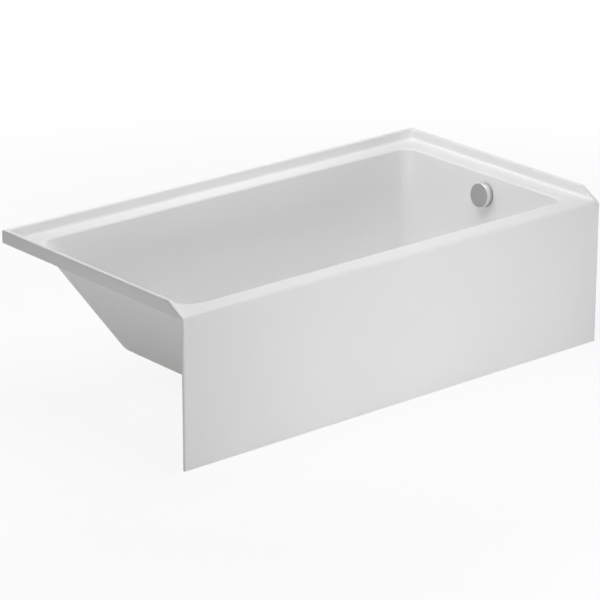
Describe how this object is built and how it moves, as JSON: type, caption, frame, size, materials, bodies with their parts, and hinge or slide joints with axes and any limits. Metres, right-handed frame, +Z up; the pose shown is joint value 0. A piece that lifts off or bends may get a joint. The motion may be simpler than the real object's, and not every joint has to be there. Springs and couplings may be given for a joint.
{
  "type": "alcove bathtub",
  "caption": "Acrylic alcove bathtub with integral skirt, three-sided tile flange, sloped lumbar end, right-hand waste and a knob-operated cable plug on levelling feet.",
  "frame": {"origin": "on the floor, under the middle of the tub's outline", "axes": "+X along the tub to the drain end, +Y from the skirt to the back wall, +Z up"},
  "size_m": [1.524, 0.8128, 0.4636],
  "materials": {
    "acrylic_shell": "vacuum-formed cast acrylic, white gloss",
    "timber": "sawn softwood and board, resin-sealed",
    "zinc_steel": "rolled steel, zinc plated",
    "foot_plastic": "moulded nylon",
    "satin_nickel": "brass, plated in satin nickel",
    "brass_rod": "turned and bent brass rod",
    "rubber_seal": "moulded rubber",
    "cable_wire": "stranded steel wire",
    "cable_jacket": "extruded plastic over a steel coil",
    "pipe_plastic": "moulded and extruded waste plastic"
  },
  "bodies": {
    "tub": {"back_rim_batten": "timber", "base_board": "timber", "cable_casing": "cable_jacket", "cable_ferrules": "brass_rod", "cross_bar_screws": "zinc_steel", "drain_cross_bar": "zinc_steel", "drain_flange": "satin_nickel", "drain_flange_seal": "rubber_seal", "drain_rim_batten": "timber", "drain_shoe": "pipe_plastic", "drain_shoe_seal": "rubber_seal", "drum_cover": "pipe_plastic", "drum_wire": "cable_wire", "faceplate_screws": "satin_nickel", "foot_nuts": "zinc_steel", "front_rim_batten": "timber", "head_cross_bar": "zinc_steel", "head_rim_batten": "timber", "overflow_body": "pipe_plastic", "overflow_faceplate": "satin_nickel", "overflow_front_seal": "rubber_seal", "overflow_pipe": "pipe_plastic", "overflow_rear_seal": "rubber_seal", "skirt_foot_batten": "timber", "slip_nuts": "pipe_plastic", "slip_washers": "rubber_seal", "tub_shell": "acrylic_shell", "waste_pipe": "pipe_plastic", "waste_tee": "pipe_plastic"},
    "knob": {"overflow_knob": "satin_nickel", "knob_screw": "satin_nickel", "knob_spindle": "brass_rod"},
    "lever": {"lift_lever": "brass_rod"},
    "plug": {"plug_cap": "satin_nickel", "plug_seal": "rubber_seal", "plug_stem": "brass_rod"},
    "cable_end": {"lever_wire": "cable_wire"},
    "head_front_foot": {"head_front_foot_stud": "zinc_steel", "head_front_foot_pad": "foot_plastic"},
    "head_back_foot": {"head_back_foot_stud": "zinc_steel", "head_back_foot_pad": "foot_plastic"},
    "drain_front_foot": {"drain_front_foot_stud": "zinc_steel", "drain_front_foot_pad": "foot_plastic"},
    "drain_back_foot": {"drain_back_foot_stud": "zinc_steel", "drain_back_foot_pad": "foot_plastic"}
  },
  "joints": [
    {"name": "knob_turn", "type": "hinge", "parent": "tub", "child": "knob", "pos_m": [0.67724, -0.014, 0.3686], "axis": [0.9925, 0, -0.1219], "range_deg": [0, 60]},
    {"name": "lever_rock", "type": "hinge", "parent": "tub", "child": "lever", "pos_m": [0.514, -0.014, 0.024], "axis": [0, -1, 0], "range_deg": [0, 32]},
    {"name": "plug_lift", "type": "slide", "parent": "tub", "child": "plug", "axis": [0, 0, 1], "range_m": [0, 0.00992]},
    {"name": "cable_pull", "type": "slide", "parent": "tub", "child": "cable_end", "axis": [1, 0, 0], "range_m": [0, 0.00717]},
    {"name": "head_front_foot_screw", "type": "slide", "parent": "tub", "child": "head_front_foot", "axis": [0, 0, -1], "range_m": [-0.006, 0.012]},
    {"name": "head_back_foot_screw", "type": "slide", "parent": "tub", "child": "head_back_foot", "axis": [0, 0, -1], "range_m": [-0.006, 0.012]},
    {"name": "drain_front_foot_screw", "type": "slide", "parent": "tub", "child": "drain_front_foot", "axis": [0, 0, -1], "range_m": [-0.006, 0.012]},
    {"name": "drain_back_foot_screw", "type": "slide", "parent": "tub", "child": "drain_back_foot", "axis": [0, 0, -1], "range_m": [-0.006, 0.012]}
  ],
  "couplings": [
    {"joint": "lever_rock", "follows": "knob_turn", "ratio": 0.53333},
    {"joint": "plug_lift", "follows": "knob_turn", "m_per_rad": 0.0094757},
    {"joint": "cable_pull", "follows": "knob_turn", "m_per_rad": 0.0068436}
  ]
}
